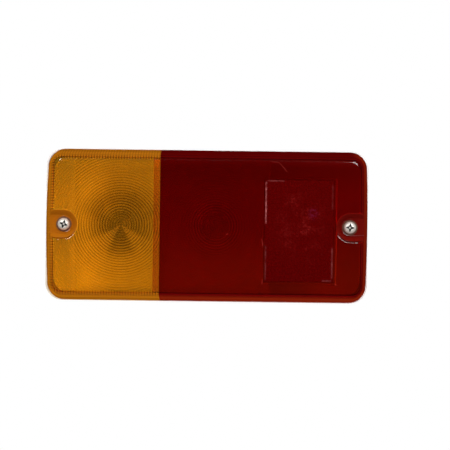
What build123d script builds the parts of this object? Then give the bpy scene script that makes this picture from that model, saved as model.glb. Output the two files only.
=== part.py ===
from build123d import *
from math import radians, tan
import os

# Rear combination lamp, fixed upright on a vehicle. The lens faces -Y, +Z is up,
# and the mounting face lies in the plane y = 0. Millimetres and degrees.
# Every "height" below is a distance in front of the mounting face.

# Lens outline
LENS_WIDTH = 225.0
LENS_HEIGHT = 105.0
LENS_CORNER = 11.0

# Depths of the lamp
RIM_HEIGHT = 44.0
LENS_REACH = 26.0
FLOOR_BACK = 14.0
FLOOR_THICK = 3.0

# Lens mouldings
LENS_WALL = 2.6
LENS_FRONT_WALL = 3.0
LENS_DRAFT = 7.5
LENS_FRONT_ROUND = 4.0
BOND_GAP = 0.05
JOINT_FROM_END = 79.7
LAP_LENGTH = 4.6
LAP_SHARE = 0.5

# Screw pockets at the two ends of the lens
SCREW_FROM_END = 12.5
POCKET_DEPTH = 9.0
POCKET_FLOOR_RADIUS = 6.4
POCKET_FLARE = 20.0
POCKET_WALL = 2.0
POCKET_FLOOR_THICK = 3.0
POCKET_SCREW_RADIUS = 2.8

# Reflex panel set in the red lens
PANEL_FROM_END = 48.3
PANEL_Z = -2.8
PANEL_WIDTH = 47.5
PANEL_HEIGHT = 70.5
PANEL_PROUD = 0.4
PANEL_CHAMFER = 0.5
PANEL_FIT = 0.15
PANEL_FLANGE = 1.0
PANEL_FLANGE_THICK = 1.8
REBATE_BORDER = 2.2
REBATE_DEPTH = 0.6
COVER_DEPTH = 4.2
COVER_WALL = 1.5

# Housing
RIM_LIP = 0.9
RIM_BAND = 6.0
GROOVE_DEPTH = 3.0
GROOVE_FIT = 0.2
GROOVE_INNER_LIP = 1.2
HOUSING_WALL = 2.7
DIVIDER_THICK = 2.5
DIVIDER_GAP = 0.6
BOSS_RADIUS = 6.5
RIB_THICK = 2.0
RIB_BACK = 5.0

# Seals
LENS_GASKET_THICK = 1.5
REAR_GASKET_THICK = 2.5
REAR_GASKET_WIDTH = 6.0

# Lens screws and their seals
SCREW_RADIUS = 2.4
SCREW_LENGTH = 16.0
HEAD_RADIUS = 4.5
HEAD_HEIGHT = 2.9
HEAD_CHAMFER = 1.3
CROSS_LENGTH = 5.2
CROSS_WIDTH = 0.9
CROSS_DEPTH = 1.7
CROSS_TURNS = {-1: 18.0, 1: 4.0}
SEAL_RADIUS = 5.3
SEAL_THICK = 1.0
THREAD_FIT = 0.12

# Mounting studs
STUD_FROM_END = 27.5
STUD_RADIUS = 3.0
STUD_ROOT_RADIUS = 3.5
STUD_REACH = 20.0
STUD_HEAD_RADIUS = 6.0
STUD_HEAD_THICK = 3.6
STUD_FIT = 0.15
STUD_BOSS_RADIUS = 8.5

# Bulb axes and reflectors
TURN_FROM_END = 52.7
STOP_FROM_JOINT = 38.8
REFLECTOR_WALL = 1.0
REFLECTOR_GAP = 1.0
REFLECTOR_TOP = 44.0
REFLECTOR_CLEARANCE = 2.5
REFLECTOR_BEVEL = 10.0

# Bayonet sockets
SHELL_RADIUS = 8.3
SHELL_WALL = 0.6
SHELL_BACK = 8.0
SHELL_FRONT = 28.0
SHELL_FIT = 0.4
FLANGE_SIZE = 20.0
FLANGE_THICK = 1.0
SLOT_WIDTH = 2.4
SLOT_TURN = 30.0
INSULATOR_THICK = 2.5
INSULATOR_FIT = 0.1
LEAF_WIDTH = 3.4
LEAF_THICK = 0.5
LEAF_SIDE = 4.0
LEAF_FOOT = 1.5
LEAF_TIP = 2.0
LEAF_FIT = 0.2
TAB_END = 2.0
TWIN_CONTACT_SPREAD = 3.0

# Bulbs
CAP_RADIUS = 7.5
CAP_LENGTH = 18.5
PIN_HEIGHT = 21.4
PIN_OFFSET = 3.0
PIN_RADIUS = 1.0
PIN_REACH = 1.1
CONTACT_DROP = 8.0
SOLDER_RADIUS = 1.6
SOLDER_HEIGHT = 1.0
GLASS_RADIUS = 12.5
GLASS_SIDES = 24
GLASS_NECK = 7.0
GLASS_NECK_LENGTH = 3.0
GLASS_LENGTH = 26.0
GLASS_CROWN = 6.0

# Earth strap between the sockets
STRAP_WIDTH = 7.0
STRAP_THICK = 0.6
STRAP_FIT = 0.05
STRAP_TAB_WIDTH = 6.3
STRAP_TAB_LENGTH = 9.0

# Places along the lamp that follow from the sizes above
AMBER_END = -LENS_WIDTH / 2
RED_END = LENS_WIDTH / 2
JOINT_X = AMBER_END + JOINT_FROM_END
TURN_X = AMBER_END + TURN_FROM_END
STOP_X = JOINT_X + STOP_FROM_JOINT
PANEL_X = RED_END - PANEL_FROM_END
SCREW_X = RED_END - SCREW_FROM_END
STUD_X = RED_END - STUD_FROM_END

# Heights that follow from the sizes above
LENS_FRONT = RIM_HEIGHT + LENS_REACH
LENS_INNER = LENS_FRONT - LENS_FRONT_WALL
LENS_BACK = RIM_HEIGHT - GROOVE_DEPTH + LENS_GASKET_THICK
FLOOR_FRONT = FLOOR_BACK + FLOOR_THICK
POCKET_FLOOR = LENS_FRONT - POCKET_DEPTH
POCKET_UNDERSIDE = POCKET_FLOOR - POCKET_FLOOR_THICK
HEAD_SEAT = POCKET_FLOOR + SEAL_THICK
STRAP_BACK = FLOOR_BACK - STRAP_THICK
FLANGE_BACK = FLOOR_FRONT + REFLECTOR_WALL
FLANGE_FRONT = FLANGE_BACK + FLANGE_THICK
INSULATOR_FRONT = SHELL_BACK + INSULATOR_THICK
CAP_BACK = PIN_HEIGHT - CONTACT_DROP
CAP_FRONT = CAP_BACK + CAP_LENGTH

# Insets from the lens outline that follow from the sizes above
TRAY_INSET = LENS_WALL + GROOVE_FIT + GROOVE_INNER_LIP
SKIRT_INSET = TRAY_INSET - HOUSING_WALL
RIM_PROUD = RIM_LIP + GROOVE_FIT
REFLECTOR_INSET = TRAY_INSET + REFLECTOR_CLEARANCE

SIDES = (-1, 1)


def at(height):
    """Plane parallel to the mounting face; its x is X and its y is Z."""
    return Plane.XZ.offset(height)


def slab(sketch, low, high):
    return extrude(at(low) * sketch, high - low)


def disc(x, radius, low, high):
    return slab(Pos(x, 0) * Circle(radius), low, high)


def about(x, angle):
    """Turn about the line through x that points out of the lamp."""
    return Pos(x, 0, 0) * Rot(0, -angle, 0)


def outline(inset):
    """Lens outline moved inwards."""
    return RectangleRounded(LENS_WIDTH - 2 * inset, LENS_HEIGHT - 2 * inset, LENS_CORNER - inset)


def span(low_x, high_x):
    """Upright strip of the front view, taller than the lamp."""
    return Pos((low_x + high_x) / 2, 0) * Rectangle(high_x - low_x, 2 * LENS_HEIGHT)


def draft_at(height):
    """Inset of the drafted lens wall at a height."""
    return (height - LENS_BACK) * tan(radians(LENS_DRAFT))


def drafted(inset, low, high):
    """Solid whose walls follow the draft of the lens, moved inwards."""
    return extrude(at(low) * outline(draft_at(low) + inset), high - low, taper=LENS_DRAFT)


def pocket_radius(height):
    return POCKET_FLOOR_RADIUS + (height - POCKET_FLOOR) * tan(radians(POCKET_FLARE))


def pocket_slot(side, radius):
    """U shape round a lens screw, open to the end of the lamp."""
    screw_x = side * SCREW_X
    mouth_x = side * LENS_WIDTH
    throat = Pos((screw_x + mouth_x) / 2, 0) * Rectangle(abs(mouth_x - screw_x), 2 * radius)
    return Pos(screw_x, 0) * Circle(radius) + throat


def pocket(side, wall, low, high):
    low_slot = pocket_slot(side, pocket_radius(low) + wall)
    high_slot = pocket_slot(side, pocket_radius(high) + wall)
    return loft([at(low) * low_slot, at(high) * high_slot], ruled=True)


def lens_cavity(inset):
    """Hollow of the lens, with the screw pockets standing in it."""
    cavity = drafted(inset, LENS_BACK, LENS_INNER)
    for side in SIDES:
        cavity -= pocket(side, POCKET_WALL, POCKET_UNDERSIDE, LENS_FRONT)
    return cavity


def lens_shell():
    """Both lenses as one shell, before it is parted at the joint."""
    shell = drafted(0, LENS_BACK, LENS_FRONT)
    front_edges = shell.faces().sort_by(Axis.Y)[0].edges()
    shell = fillet(front_edges, LENS_FRONT_ROUND)
    shell -= lens_cavity(LENS_WALL)
    for side in SIDES:
        shell -= pocket(side, 0, POCKET_FLOOR, LENS_FRONT + LENS_FRONT_ROUND)
        shell -= disc(side * SCREW_X, POCKET_SCREW_RADIUS, POCKET_UNDERSIDE, POCKET_FLOOR)
    return shell


def lap(thickness_share):
    """Inner share of the shell along the joint, where one lens overlaps the other."""
    inset = LENS_WALL * (1 - thickness_share)
    front = LENS_INNER + LENS_FRONT_WALL * thickness_share
    core = drafted(inset, LENS_BACK, front)
    return core & slab(span(JOINT_X - LAP_LENGTH, JOINT_X), LENS_BACK, LENS_FRONT)


def panel_rectangle(border):
    return Pos(PANEL_X, PANEL_Z) * Rectangle(PANEL_WIDTH + 2 * border, PANEL_HEIGHT + 2 * border)


def amber_lens(shell):
    lens = shell & slab(span(-LENS_WIDTH, JOINT_X), 0, LENS_FRONT)
    return lens - lap(LAP_SHARE)


def red_lens(shell):
    lens = shell & slab(span(JOINT_X + BOND_GAP, LENS_WIDTH), 0, LENS_FRONT)
    tongue = lap(LAP_SHARE - BOND_GAP / LENS_WALL) - lens_cavity(LENS_WALL)
    root = Pos(LAP_LENGTH, 0, 0) * tongue
    tongue &= slab(span(JOINT_X - LAP_LENGTH + BOND_GAP, JOINT_X), LENS_BACK, LENS_FRONT)
    lens += tongue + root
    lens -= slab(panel_rectangle(PANEL_FIT), LENS_INNER, LENS_FRONT)
    lens -= slab(panel_rectangle(REBATE_BORDER), LENS_FRONT - REBATE_DEPTH, LENS_FRONT)
    return lens


def reflex_reflector():
    """Reflex panel: a pad that fills the window and a flange bonded behind it."""
    pad = slab(panel_rectangle(0), LENS_INNER, LENS_FRONT + PANEL_PROUD)
    pad = chamfer(pad.faces().sort_by(Axis.Y)[0].edges(), PANEL_CHAMFER)
    flange = slab(panel_rectangle(PANEL_FLANGE), LENS_INNER - PANEL_FLANGE_THICK, LENS_INNER)
    return pad + flange


def reflex_cover():
    front = LENS_INNER - PANEL_FLANGE_THICK
    back = front - COVER_DEPTH
    tray = slab(panel_rectangle(PANEL_FLANGE), back, front)
    return tray - slab(panel_rectangle(PANEL_FLANGE - COVER_WALL), back + COVER_WALL, front)


def divider():
    """Wall of the housing that keeps the light of the two bulbs apart."""
    middle = JOINT_X - LAP_LENGTH / 2
    strip = span(middle - DIVIDER_THICK / 2, middle + DIVIDER_THICK / 2)
    lower = slab(outline(TRAY_INSET) & strip, FLOOR_FRONT, RIM_HEIGHT)
    upper = drafted(TRAY_INSET, RIM_HEIGHT, LENS_INNER - DIVIDER_GAP)
    return lower + (upper & slab(strip, RIM_HEIGHT, LENS_INNER))


def stud_boss(side):
    """Thick pillar for a mounting stud, with ribs to the skirt above and below."""
    x = side * STUD_X
    pillar = disc(x, STUD_BOSS_RADIUS, 0, FLOOR_BACK)
    rib = outline(SKIRT_INSET + HOUSING_WALL / 2) & span(x - RIB_THICK / 2, x + RIB_THICK / 2)
    return pillar + slab(rib, RIB_BACK, FLOOR_BACK)


def stud_hole(side):
    x = side * STUD_X
    hole = disc(x, STUD_ROOT_RADIUS + STUD_FIT, 0, FLOOR_FRONT)
    return hole + disc(x, STUD_HEAD_RADIUS + STUD_FIT, FLOOR_FRONT - STUD_HEAD_THICK, FLOOR_FRONT)


def lamp_housing():
    housing = slab(outline(SKIRT_INSET), REAR_GASKET_THICK, RIM_HEIGHT)
    housing += slab(outline(-RIM_PROUD), RIM_HEIGHT - RIM_BAND, RIM_HEIGHT)
    housing -= slab(outline(TRAY_INSET), FLOOR_FRONT, RIM_HEIGHT)
    housing -= slab(outline(TRAY_INSET), REAR_GASKET_THICK, FLOOR_BACK)
    groove = outline(-GROOVE_FIT) - outline(LENS_WALL + GROOVE_FIT)
    housing -= slab(groove, RIM_HEIGHT - GROOVE_DEPTH, RIM_HEIGHT)
    housing += divider()
    for side in SIDES:
        screw_x = side * SCREW_X
        housing += disc(screw_x, BOSS_RADIUS, FLOOR_FRONT, POCKET_UNDERSIDE)
        housing -= disc(screw_x, SCREW_RADIUS + THREAD_FIT, HEAD_SEAT - SCREW_LENGTH, POCKET_UNDERSIDE)
        housing += stud_boss(side)
        housing -= stud_hole(side)
    for socket_x in (TURN_X, STOP_X):
        housing -= disc(socket_x, SHELL_RADIUS + SHELL_FIT, FLOOR_BACK, FLOOR_FRONT)
    return housing


def lens_gasket():
    ring = outline(0) - outline(LENS_WALL)
    return slab(ring, RIM_HEIGHT - GROOVE_DEPTH, LENS_BACK)


def rear_gasket():
    ring = outline(SKIRT_INSET) - outline(SKIRT_INSET + REAR_GASKET_WIDTH)
    return slab(ring, 0, REAR_GASKET_THICK)


def bevelled_block(sketch, low, high, bevel):
    """Block with sloping faces round its rear end."""
    block = slab(sketch, low, high)
    return chamfer(block.faces().sort_by(Axis.Y)[-1].edges(), bevel)


def reflector(socket_x, low_x, high_x):
    """Open dish round a bulb, with sloping sides and a flat floor under the socket."""
    height = LENS_HEIGHT - 2 * REFLECTOR_INSET
    mouth = Pos((low_x + high_x) / 2, 0) * Rectangle(high_x - low_x, height)
    hollow = offset(mouth, -REFLECTOR_WALL, kind=Kind.INTERSECTION)
    dish = bevelled_block(mouth, FLOOR_FRONT, REFLECTOR_TOP, REFLECTOR_BEVEL)
    dish -= bevelled_block(hollow, FLANGE_BACK, REFLECTOR_TOP, REFLECTOR_BEVEL)
    return dish - disc(socket_x, SHELL_RADIUS + SHELL_FIT, FLOOR_FRONT, FLANGE_BACK)


def turn_reflector():
    low_x = BOSS_RADIUS + REFLECTOR_GAP - SCREW_X
    high_x = JOINT_X - LAP_LENGTH / 2 - DIVIDER_THICK / 2 - REFLECTOR_GAP
    return reflector(TURN_X, low_x, high_x)


def stop_reflector():
    low_x = JOINT_X - LAP_LENGTH / 2 + DIVIDER_THICK / 2 + REFLECTOR_GAP
    high_x = 2 * STOP_X - low_x
    return reflector(STOP_X, low_x, high_x)


def bayonet_slot(x, angle, pin_height):
    """J-shaped way for one bulb pin: in from the front, then round to the seat."""
    low = pin_height - SLOT_WIDTH / 2
    across = 4 * SHELL_WALL
    entry = Pos(SHELL_RADIUS, -(low + SHELL_FRONT) / 2, 0) * Box(across, SHELL_FRONT - low, SLOT_WIDTH)
    seat = Pos(SHELL_RADIUS, -pin_height, 0) * Box(across, SLOT_WIDTH, SLOT_WIDTH)
    way = revolve(Pos(SHELL_RADIUS, -pin_height) * Rectangle(across, SLOT_WIDTH), Axis.Y, SLOT_TURN)
    return about(x, angle) * (seat + way + Rot(0, SLOT_TURN, 0) * entry)


def socket_shell(socket_x, pin_heights):
    bore = SHELL_RADIUS - SHELL_WALL
    shell = disc(socket_x, SHELL_RADIUS, SHELL_BACK, SHELL_FRONT)
    shell += slab(Pos(socket_x, 0) * Rectangle(FLANGE_SIZE, FLANGE_SIZE), FLANGE_BACK, FLANGE_FRONT)
    shell -= disc(socket_x, bore, SHELL_BACK, SHELL_FRONT)
    for angle, pin_height in zip((90, 270), pin_heights):
        shell -= bayonet_slot(socket_x, angle, pin_height)
    return shell


def socket_insulator(socket_x, contact_places):
    radius = SHELL_RADIUS - SHELL_WALL - INSULATOR_FIT
    plate = disc(socket_x, radius, SHELL_BACK, INSULATOR_FRONT)
    for x in contact_places:
        slot = Pos(x, -LEAF_SIDE) * Rectangle(LEAF_WIDTH + 2 * LEAF_FIT, LEAF_THICK + 2 * LEAF_FIT)
        plate -= slab(slot, SHELL_BACK, INSULATOR_FRONT)
    return plate


def contact_leaf(x):
    """Sprung brass strip: a tab behind the socket, bent over to press on the bulb."""
    bend = INSULATOR_FRONT + LEAF_THICK / 2
    crest = CAP_BACK - SOLDER_HEIGHT - LEAF_THICK
    line = Polyline(
        (-LEAF_SIDE, TAB_END),
        (-LEAF_SIDE, bend),
        (-LEAF_SIDE + LEAF_FOOT, bend),
        (0, crest),
        (LEAF_TIP, crest - LEAF_THICK),
    )
    plane = Plane(origin=(x - LEAF_WIDTH / 2, 0, 0), x_dir=(0, 0, 1), z_dir=(1, 0, 0))
    return extrude(plane * trace(line, LEAF_THICK), LEAF_WIDTH)


def bulb_pin(x, angle, height):
    pin = extrude(Plane.YZ * Circle(PIN_RADIUS), CAP_RADIUS + PIN_REACH)
    return about(x, angle) * Pos(0, -height, 0) * pin


def bulb_glass(x):
    """Pear-shaped glass on the cap, many-sided so that its facets stay few."""
    neck_top = CAP_FRONT + GLASS_NECK_LENGTH
    belly = Pos(x, 0) * RegularPolygon(GLASS_RADIUS, GLASS_SIDES)
    glass = bevelled_block(belly, neck_top, neck_top + GLASS_LENGTH, GLASS_RADIUS - GLASS_NECK)
    glass = chamfer(glass.faces().sort_by(Axis.Y)[0].edges(), GLASS_CROWN)
    return glass + disc(x, GLASS_NECK, CAP_FRONT, neck_top)


def bulb(socket_x, pin_heights, contact_places):
    """Sealed bayonet bulb: a metal cap with pins and contacts under its glass."""
    solid = disc(socket_x, CAP_RADIUS, CAP_BACK, CAP_FRONT) + bulb_glass(socket_x)
    for x in contact_places:
        solid += disc(x, SOLDER_RADIUS, CAP_BACK - SOLDER_HEIGHT, CAP_BACK)
    for angle, pin_height in zip((90, 270), pin_heights):
        solid += bulb_pin(socket_x, angle, pin_height)
    return solid


def earth_strap():
    """Brass strip welded between the two socket shells, with a tab for its wire."""
    middle = (TURN_X + STOP_X) / 2
    plate = Pos(middle, 0) * Rectangle(STOP_X - TURN_X, STRAP_WIDTH)
    for x in (TURN_X, STOP_X):
        plate -= Pos(x, 0) * Circle(SHELL_RADIUS + STRAP_FIT)
    foot = Pos(middle, (STRAP_THICK - STRAP_WIDTH) / 2) * Rectangle(STRAP_TAB_WIDTH, STRAP_THICK)
    return slab(plate, STRAP_BACK, FLOOR_BACK) + slab(foot, STRAP_BACK - STRAP_TAB_LENGTH, STRAP_BACK)


def lens_screw(side):
    x = side * SCREW_X
    crown = HEAD_SEAT + HEAD_HEIGHT
    head = disc(x, HEAD_RADIUS, HEAD_SEAT, crown)
    head = chamfer(head.edges().sort_by(Axis.Y)[0], HEAD_CHAMFER)
    bar = Rectangle(CROSS_LENGTH, CROSS_WIDTH)
    cross = Pos(x, 0) * Rot(0, 0, CROSS_TURNS[side]) * (bar + Rot(0, 0, 90) * bar)
    head -= slab(cross, crown - CROSS_DEPTH, crown)
    return head + disc(x, SCREW_RADIUS, HEAD_SEAT - SCREW_LENGTH, HEAD_SEAT)


def screw_seal(side):
    x = side * SCREW_X
    ring = Pos(x, 0) * (Circle(SEAL_RADIUS) - Circle(SCREW_RADIUS + THREAD_FIT))
    return slab(ring, POCKET_FLOOR, HEAD_SEAT)


def mounting_stud(side):
    """Stud with its head sunk in the floor and a thicker root gripped by the pillar."""
    x = side * STUD_X
    head_back = FLOOR_FRONT - STUD_HEAD_THICK
    stud = disc(x, STUD_RADIUS, -STUD_REACH, 0)
    stud += disc(x, STUD_ROOT_RADIUS, 0, head_back)
    return stud + disc(x, STUD_HEAD_RADIUS, head_back, FLOOR_FRONT)


def build():
    shell = lens_shell()
    single = (TURN_X,)
    twin = tuple(STOP_X + side * TWIN_CONTACT_SPREAD for side in SIDES)
    level_pins = (PIN_HEIGHT, PIN_HEIGHT)
    offset_pins = (PIN_HEIGHT, PIN_HEIGHT + PIN_OFFSET)
    return {
        "amber_lens": amber_lens(shell),
        "red_lens": red_lens(shell),
        "reflex_reflector": reflex_reflector(),
        "reflex_cover": reflex_cover(),
        "lamp_housing": lamp_housing(),
        "lens_gasket": lens_gasket(),
        "rear_gasket": rear_gasket(),
        "turn_reflector": turn_reflector(),
        "stop_reflector": stop_reflector(),
        "turn_socket_shell": socket_shell(TURN_X, level_pins),
        "stop_socket_shell": socket_shell(STOP_X, offset_pins),
        "turn_socket_insulator": socket_insulator(TURN_X, single),
        "stop_socket_insulator": socket_insulator(STOP_X, twin),
        "turn_contact_leaf": contact_leaf(single[0]),
        "tail_contact_leaf": contact_leaf(twin[0]),
        "stop_contact_leaf": contact_leaf(twin[1]),
        "turn_bulb": bulb(TURN_X, level_pins, single),
        "stop_bulb": bulb(STOP_X, offset_pins, twin),
        "earth_strap": earth_strap(),
        "lens_screws": Compound([lens_screw(side) for side in SIDES]),
        "screw_seals": Compound([screw_seal(side) for side in SIDES]),
        "mounting_studs": Compound([mounting_stud(side) for side in SIDES]),
    }


os.makedirs("parts", exist_ok=True)
for name, solid in build().items():
    export_step(solid, f"parts/{name}.step")
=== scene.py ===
from math import cos, pi, radians, sin, tan

import bmesh
import bpy
from mathutils import Matrix, Vector


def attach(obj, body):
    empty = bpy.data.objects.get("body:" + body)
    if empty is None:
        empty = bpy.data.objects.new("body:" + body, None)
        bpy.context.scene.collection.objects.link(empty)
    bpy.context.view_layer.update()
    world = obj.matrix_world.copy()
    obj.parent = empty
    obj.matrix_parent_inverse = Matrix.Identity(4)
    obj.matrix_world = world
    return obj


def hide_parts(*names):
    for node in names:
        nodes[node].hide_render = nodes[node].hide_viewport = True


# A rear combination lamp. The lens faces -Y, +Z is up and the mounting face lies in
# the plane y = 0. Sizes are in millimetres, and a "height" is a distance in front of
# the mounting face.

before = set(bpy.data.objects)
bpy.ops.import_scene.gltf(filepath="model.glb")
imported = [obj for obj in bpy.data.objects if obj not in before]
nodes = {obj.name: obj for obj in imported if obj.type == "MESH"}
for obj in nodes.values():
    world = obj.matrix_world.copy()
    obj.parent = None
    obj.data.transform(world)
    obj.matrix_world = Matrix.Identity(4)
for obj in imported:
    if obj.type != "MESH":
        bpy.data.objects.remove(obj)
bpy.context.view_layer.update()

MM = 0.001

# How near counts as the same place, what share as nearly all, and how far cutters reach past
CLOSE = 0.01
MERGE_CLOSE = 0.002
CUT_CLOSE = 0.0001
NEARLY = 0.9
PAST = 1.0

SIDES = (-1, 1)
SIDE_NAMES = {-1: "left", 1: "right"}

# Lens
LENS_WIDTH = 225.0
LENS_HEIGHT = 105.0
LENS_CORNER = 11.0
LENS_CORNER_STEPS = 10
LENS_BACK = 42.5
LENS_FRONT = 70.0
LENS_INNER = 67.0
LENS_WALL = 2.6
LENS_DRAFT = 7.5
FRONT_ROUND = 4.0
FRONT_ROUND_STEPS = 6
FRONT_EDGE_ANGLE = 0.1
SKIRT_REACH = 0.7
SKIRT_LOW = 44.05
SKIRT_HIGH = 52.6
SKIRT_DRAFT = 15.9
SKIRT_STRETCH = 1.0031
CREASE_LOW = SKIRT_LOW + 5
CREASE_ANGLES = (0.05, 0.3)
JOINT_X = -32.8
LAP_LENGTH = 4.6
LAP_INSET = 1.3
LAP_PAST = 5.0
LAP_FRONT = 68.5
BOND_GAP = 0.05
END_BOW = {-1: 2.1, 1: 1.2}
END_CUTS = 11
CAGE_POINTS = (8, 2, 9)
CAGE_END = 0.49

# Cutting blocks reach well past the lens
CUT_END = -150.0
CUT_FRONT = -90.0
CUT_BACK = -30.0
CUT_SIDE = 80.0

# Optics inside the lens; each field of rings has its ends and its reach
RING_PITCH = 1.8
RING_HEIGHT = 0.35
RING_FALL = (30.0, 50.0, 0.5)
RING_STEPS = 4
RING_TURNS = 144
RING_ROOT = 0.6
RING_BASE = 0.05
RING_SHIFT = 0.75
RING_MARGIN = 0.5
AMBER_RINGS = (-106.2, JOINT_X - LAP_LENGTH - RING_MARGIN, 66.0)
RED_RINGS = (JOINT_X + 0.78, 38.0, 62.0)
FLUTE_PITCH = 1.9
FLUTE_DEPTH = 0.3

# Screw pockets
SCREW_X = 100.0
POCKET_FLOOR = 61.0
POCKET_RADIUS = 6.4
POCKET_FLARE = 20.0
POCKET_WALL = 2.0
POCKET_UNDERSIDE = 58.0
POCKET_TOP = 74.0
POCKET_STEPS = 12
POCKET_EDGE = 1.1
POCKET_EDGE_STEPS = 4
POCKET_EDGE_ANGLE = 40.0
POCKET_EDGE_LOW = POCKET_FLOOR + 0.5
POCKET_FLOOR_EDGE = 0.9
POCKET_FLOOR_STEPS = 3
SCREW_HOLE = 2.8
HOLE_LOW = POCKET_UNDERSIDE - 5
HOLE_STEPS = 32

# Reflex panel; each step of its side is how much it grows and the height it goes to
PANEL_X = 64.2
PANEL_Z = -2.8
PANEL_WIDTH = 47.5
PANEL_HEIGHT = 70.5
PANEL_RIM = 2.0
PRISM_BACK = 65.2
PRISM_DEPTH = 1.6
PRISM_MARGIN = 0.9
PRISMS_ACROSS = 16
PRISMS_UP = 24
PANEL_STEPS = (
    (2, PRISM_BACK),
    (2, LENS_INNER),
    (0, LENS_INNER),
    (0, 69.9),
    (-0.5, 70.25),
    (-1.2, 70.4),
)

# Openings for the panel: the border round it, the low and high ends, and the slope of the sides
PANEL_WINDOW = (0.1, LENS_INNER - PAST, LENS_FRONT + PAST, 0.05)
PANEL_REBATE = (2.2, LENS_FRONT - 0.4, LENS_FRONT + 0.2, 0.3)

# Facets round turned pieces, and the angle in degrees up to which a piece is shaded smooth
SCREW_FACETS = 40
RECESS_FACETS = 12
SEAL_FACETS = 48
STUD_FACETS = 32
BULB_FACETS = 48
STEM_FACETS = 32
LENS_SMOOTH = 32
GASKET_SMOOTH = 40
SCREW_SMOOTH = 35
SEAL_SMOOTH = 60
PANEL_SMOOTH = 20
BULB_SMOOTH = 40

# Screws, seals and studs; profiles are (radius, height) from one end to the other, and the
# form of a thread says at which shares of its pitch the ridge starts, is full and ends
THREAD_FORM = (0.25, 0.55, 0.7)
SCREW_TOP = 64.9
SCREW_TURNS = (18.0, 4.0)
SCREW_HEAD = [
    (0, SCREW_TOP), (1.3, 64.87), (2.5, 64.76), (3.4, 64.48), (3.95, 63.98),
    (4.22, 63.2), (4.25, 62.5), (4.2, 62.1), (4.1, 62.0),
]
SCREW_NECK = [(2.4, 62.0), (2.4, 60.5)]
SCREW_THREAD = (48.5, 60.5, 1.95, 2.4, 1.4)
SCREW_TIP = [(1.7, 48.0), (0, 46.0)]
RECESS_LENGTH = 6.6
RECESS_WIDTH = 1.8
RECESS_CENTRE = 0.75
RECESS_DEPTH = 1.6
RECESS_POINT = 0.3
RECESS_TAPER = (0.6, 1, 0.7)
RECESS_PAST = 0.5
RECESS_CUTS = 3
RECESS_FLOOR = 0.1
RECESS_SINK = 0.15
SEAL_RADIUS = 3.91
SEAL_HEIGHT = 61.5
SEAL_HALF = (1.48, 0.54)
SEAL_STEPS = 8
STUD_X = 85.0
STUD_HEAD = [(0, 17.0), (5.6, 17.0), (6.0, 16.6), (6.0, 13.4)]
STUD_NECK = [(3.5, 13.4), (3.5, 0.2), (3.0, 0.0), (3.0, -1.5)]
STUD_THREAD = (-19.0, -1.5, 2.6, 3.0, 1.0)
STUD_TIP = [(2.6, -19.2), (2.2, -20.0), (0, -20.0)]

# Bulbs
TURN_X = -59.8
STOP_X = 6.0
BULB_GLASS = [
    (0, 60.9), (4.2, 60.2), (7.8, 58.4), (10.6, 55.4), (12.1, 51.8), (12.5, 47.8),
    (12.0, 44.0), (10.4, 40.4), (8.4, 37.4), (7.3, 35.4), (7.0, 33.0), (7.0, 32.0),
]
BULB_CROWN = 5.0
GLASS_WALL = 0.7
BULB_CAP = [
    (0, 13.4), (6.6, 13.4), (7.2, 13.8), (7.5, 14.6), (7.5, 31.2),
    (7.2, 31.9), (6.4, 31.9), (6.1, 31.4), (6.1, 30.0), (0, 30.0),
]
BULB_STEM = [
    (0, 30.0), (4.5, 30.0), (4.2, 32.0), (2.6, 34.5), (1.9, 38.0), (2.1, 39.2), (1.4, 40.2), (0, 40.5),
]

# Gasket under the lens
GASKET_LOW = 41.0
GASKET_LIP = 43.8
GASKET_FIT = 0.15
GASKET_STEP = 0.02

# Where the finish of the lenses changes, from one place to another. An "edge" counts
# outwards from the border of the front and the mouth counts inwards from a pocket's rim.
BORDER_X = 107.2
BORDER_Z = 46.9
BORDER_CORNER = 5.7
MOUTH_ROUND = 0.2
MOUTH_EDGE = (-0.5, 0.1)
WALL_EDGE = (-0.7, -0.1)
CLEAR_EDGE = (-0.1, 0.6)
FLUTE_EDGE = (0.0, 0.6)
# From here on the spans also place painted light towards the foot, painted shade on the skirt, dashes of
# painted shade where the flutes meet the front, and painted light on the rounding
FOOT_EDGE = (1.0, 4.0)
SKIRT_EDGE = (4.0, 4.6)
TEETH_INNER = (-1.6, -0.9)
TEETH_OUTER = (1.7, 1.0)
LIFT_BELOW = (0.3, 0.9)
LIFT_INNER = (-1.4, -0.6)
LIFT_CREST = (0.5, 0.0, 1.0, 1.6)
LIFT_OUTER = (2.8, 2.2)
LIFT_ENDS = (100.0, 107.0)
FOOT_ENDS = (100.0, 109.0)
LOWER_EDGE = (-40.0, -48.0)
BODY_SPAN = (10.0, -40.0)
POCKET_SPAN = (POCKET_FLOOR - 2.5, POCKET_FLOOR - 1)
LAP_SOFT = 0.15

# Finish of the lenses; a grain is its scale, detail, least and most
FRONT_CLEARNESS = 0.85
WALL_CLEARNESS = 0.25
ACRYLIC_IOR = 1.49
GLASS_IOR = 1.45
NOISE_SPAN = (0.3, 0.7)
WALL_CLOUD = (40.0, 2.0, 0.0, 1.0)
POLISHED_GRAIN = (500.0, 4.0, 0.03, 0.07)
MATT_GRAIN = (500.0, 4.0, 0.5, 0.65)
LAP_COLOUR = (1.18, 0.75, 0.65)
# Share of painted light from the floor at the ends of the walls
END_LIGHT = 0.5
# Painted shade of the flutes on the walls, and of their dashes where they meet the front
FLUTE_LINE = (0.05, 0.3)
FLUTE_SHADE = 0.26
TEETH_SHADE = 0.5
# Painted shade in the valleys of the rings, and the span that makes its lines stronger at the upper left
RING_LINE = (0.02, 0.3)
RING_CORNER = (40.0, 70.0)
# Painted shade in the middle of the amber rings and painted light in wedges on its diagonals
WEDGE_DARK = 0.585
WEDGE_LOWER = 0.36
WEDGE_UPPER = 0.05
WEDGE_RIGHT = 0.12
WEDGE_RAISED = 6.0
WEDGE_REACH = (11.0, 29.0)
WEDGE_SPAN = (0.1, -0.95)
WEDGE_SIDES = (-0.3, 0.3)
WEDGE_RIGHT_SPAN = (0.6, 0.95)
WEDGE_RAISED_SPAN = (0.1, 0.5)

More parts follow.
